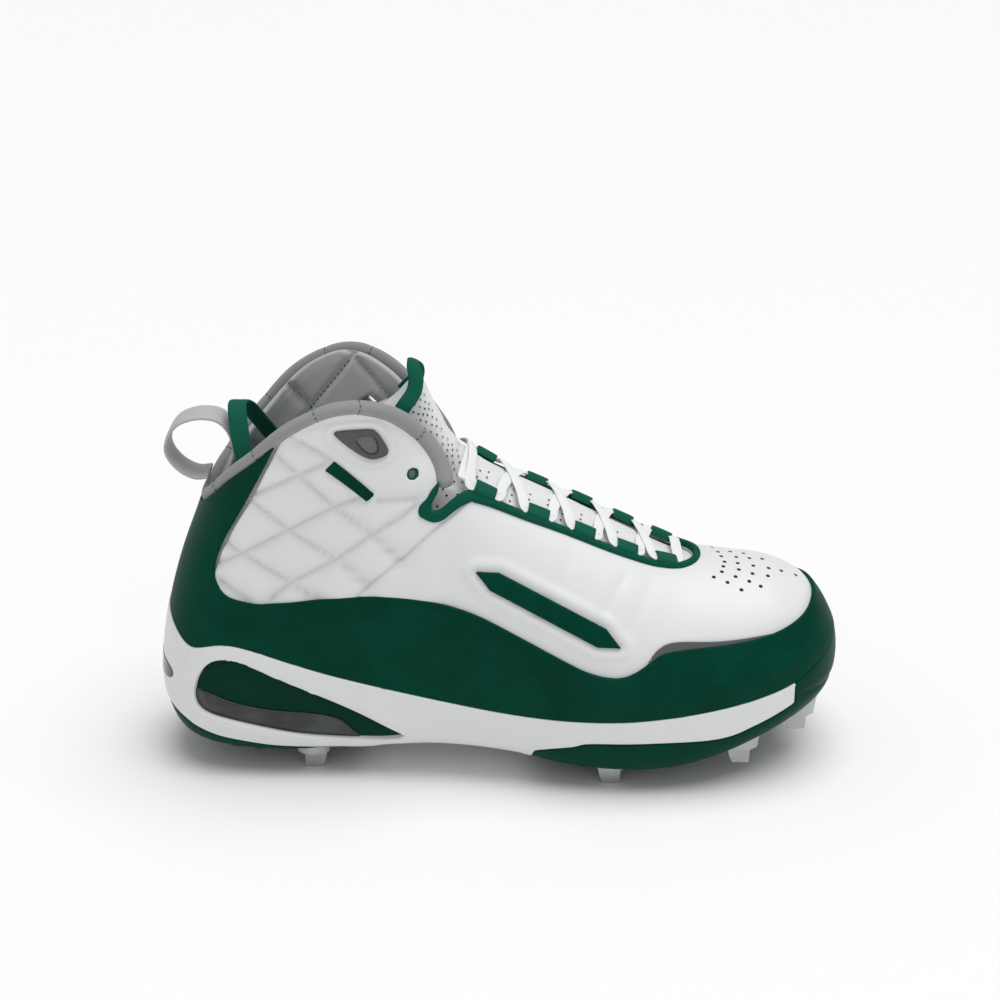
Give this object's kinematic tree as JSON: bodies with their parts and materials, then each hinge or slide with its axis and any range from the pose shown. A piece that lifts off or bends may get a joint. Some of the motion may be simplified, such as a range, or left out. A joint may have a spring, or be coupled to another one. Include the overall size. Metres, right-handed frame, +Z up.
{
  "type": "baseball cleat",
  "caption": "High-cut right baseball cleat with a padded collar, quilted ankle panel, laced throat, heel pull loop, and a plated sole on blade spikes.",
  "frame": {"origin": "middle of the bounding box, on the floor under the spikes", "axes": "+X from the heel to the toe, +Y towards the inner (medial) side, +Z up"},
  "size_m": [0.3108, 0.1102, 0.1895],
  "materials": {
    "leather": "satin white leather",
    "green_skin": "smooth dark green",
    "lining": "grey knit",
    "green_webbing": "woven green",
    "grey_webbing": "woven light grey",
    "lace": "flat woven white",
    "sole": "satin white",
    "plate": "satin green",
    "shank": "satin white",
    "smoke": "smoky and glossy",
    "carrier": "dark green and glossy",
    "dark_trim": "satin dark grey",
    "pale_trim": "satin light grey",
    "steel": "pale satin metal"
  },
  "bodies": {
    "root": {"upper": "leather", "mudguard": "green_skin", "eyestay": "green_skin", "collar": "lining", "tongue": "leather", "tongue_loop": "green_webbing", "insole": "lining", "midsole": "sole", "heel_cushion": "smoke", "heel_carrier": "carrier", "heel_plate": "plate", "arch_plate": "shank", "forefoot_plate": "plate", "laces": "lace", "heel_pull_loop": "grey_webbing", "heel_strap": "green_webbing", "vent_frame_lateral": "dark_trim", "vent_frame_medial": "pale_trim", "side_inlay_lateral": "green_skin", "side_inlay_medial": "green_skin", "side_tag": "green_skin", "spike_heel_lateral": "steel", "spike_heel_medial": "steel", "spike_ball_lateral": "steel", "spike_ball_medial": "steel", "spike_front_lateral": "steel", "spike_front_medial": "steel", "spike_toe_lateral": "steel", "spike_toe_medial": "steel", "keeper_lateral_1": "green_webbing", "keeper_lateral_2": "green_webbing", "keeper_lateral_3": "green_webbing", "keeper_lateral_4": "green_webbing", "keeper_lateral_5": "green_webbing", "keeper_medial_1": "green_webbing", "keeper_medial_2": "green_webbing", "keeper_medial_3": "green_webbing", "keeper_medial_4": "green_webbing", "keeper_medial_5": "green_webbing"}
  },
  "joints": []
}
